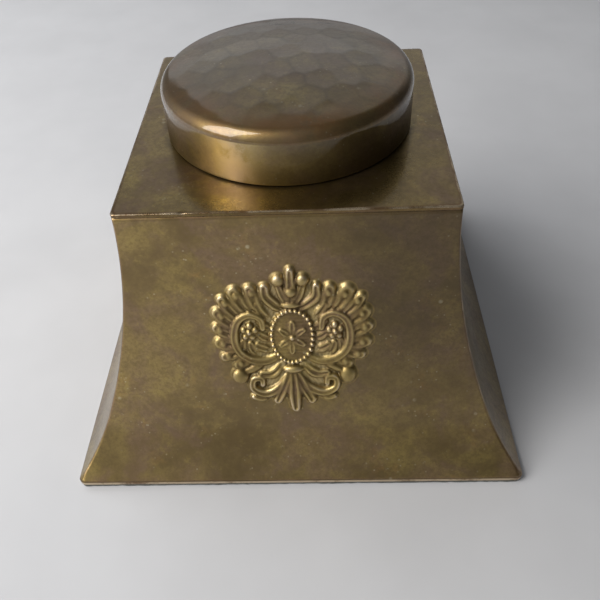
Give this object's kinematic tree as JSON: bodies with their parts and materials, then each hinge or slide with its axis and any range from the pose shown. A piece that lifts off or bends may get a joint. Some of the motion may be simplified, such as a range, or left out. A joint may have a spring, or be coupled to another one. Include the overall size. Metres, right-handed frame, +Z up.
{
  "type": "inkwell",
  "caption": "Square desk inkwell in sheet brass with hollow-curved flaring walls, a leaf ornament on the front, a hammered domed lid hinged at the back and a glass liner.",
  "frame": {"origin": "centre of the square footprint, on the surface that the inkwell stands on", "axes": "+Z up, -Y towards the front wall with the ornament, +X to the right seen from the front"},
  "size_m": [0.0996, 0.0996, 0.0771],
  "materials": {
    "body_brass": "aged, mottled olive-brown patina",
    "plate_brass": "aged, smooth brown patina, edges worn bright",
    "lid_brass": "aged, hammered, brown patina",
    "ornament_brass": "aged, high points worn bright",
    "collar_brass": "turned, lightly tarnished",
    "hinge_brass": "aged, worn",
    "hinge_pin_brass": "drawn, polished by use",
    "solder": "dull grey soft solder",
    "glass": "clear, slightly green",
    "leather": "dark, pressed",
    "felt": "dark green felt, matte"
  },
  "bodies": {
    "body": {"base_felt": "felt", "base_plate": "body_brass", "front_wall": "body_brass", "right_wall": "body_brass", "back_wall": "body_brass", "left_wall": "body_brass", "corner_solder": "solder", "top_plate": "plate_brass", "front_ornament": "ornament_brass", "neck_collar": "collar_brass", "liner_washer": "leather", "glass_liner": "glass", "hinge_body_leaf": "hinge_brass", "hinge_pin": "hinge_pin_brass", "hinge_body_rivets": "hinge_brass"},
    "lid": {"lid_shell": "lid_brass", "hinge_lid_leaf": "hinge_brass", "hinge_lid_rivets": "hinge_brass"}
  },
  "joints": [
    {"name": "lid_hinge", "type": "hinge", "parent": "body", "child": "lid", "pos_m": [0, 0.0289, 0.065], "axis": [-1, 0, 0], "range_deg": [0, 105]}
  ]
}
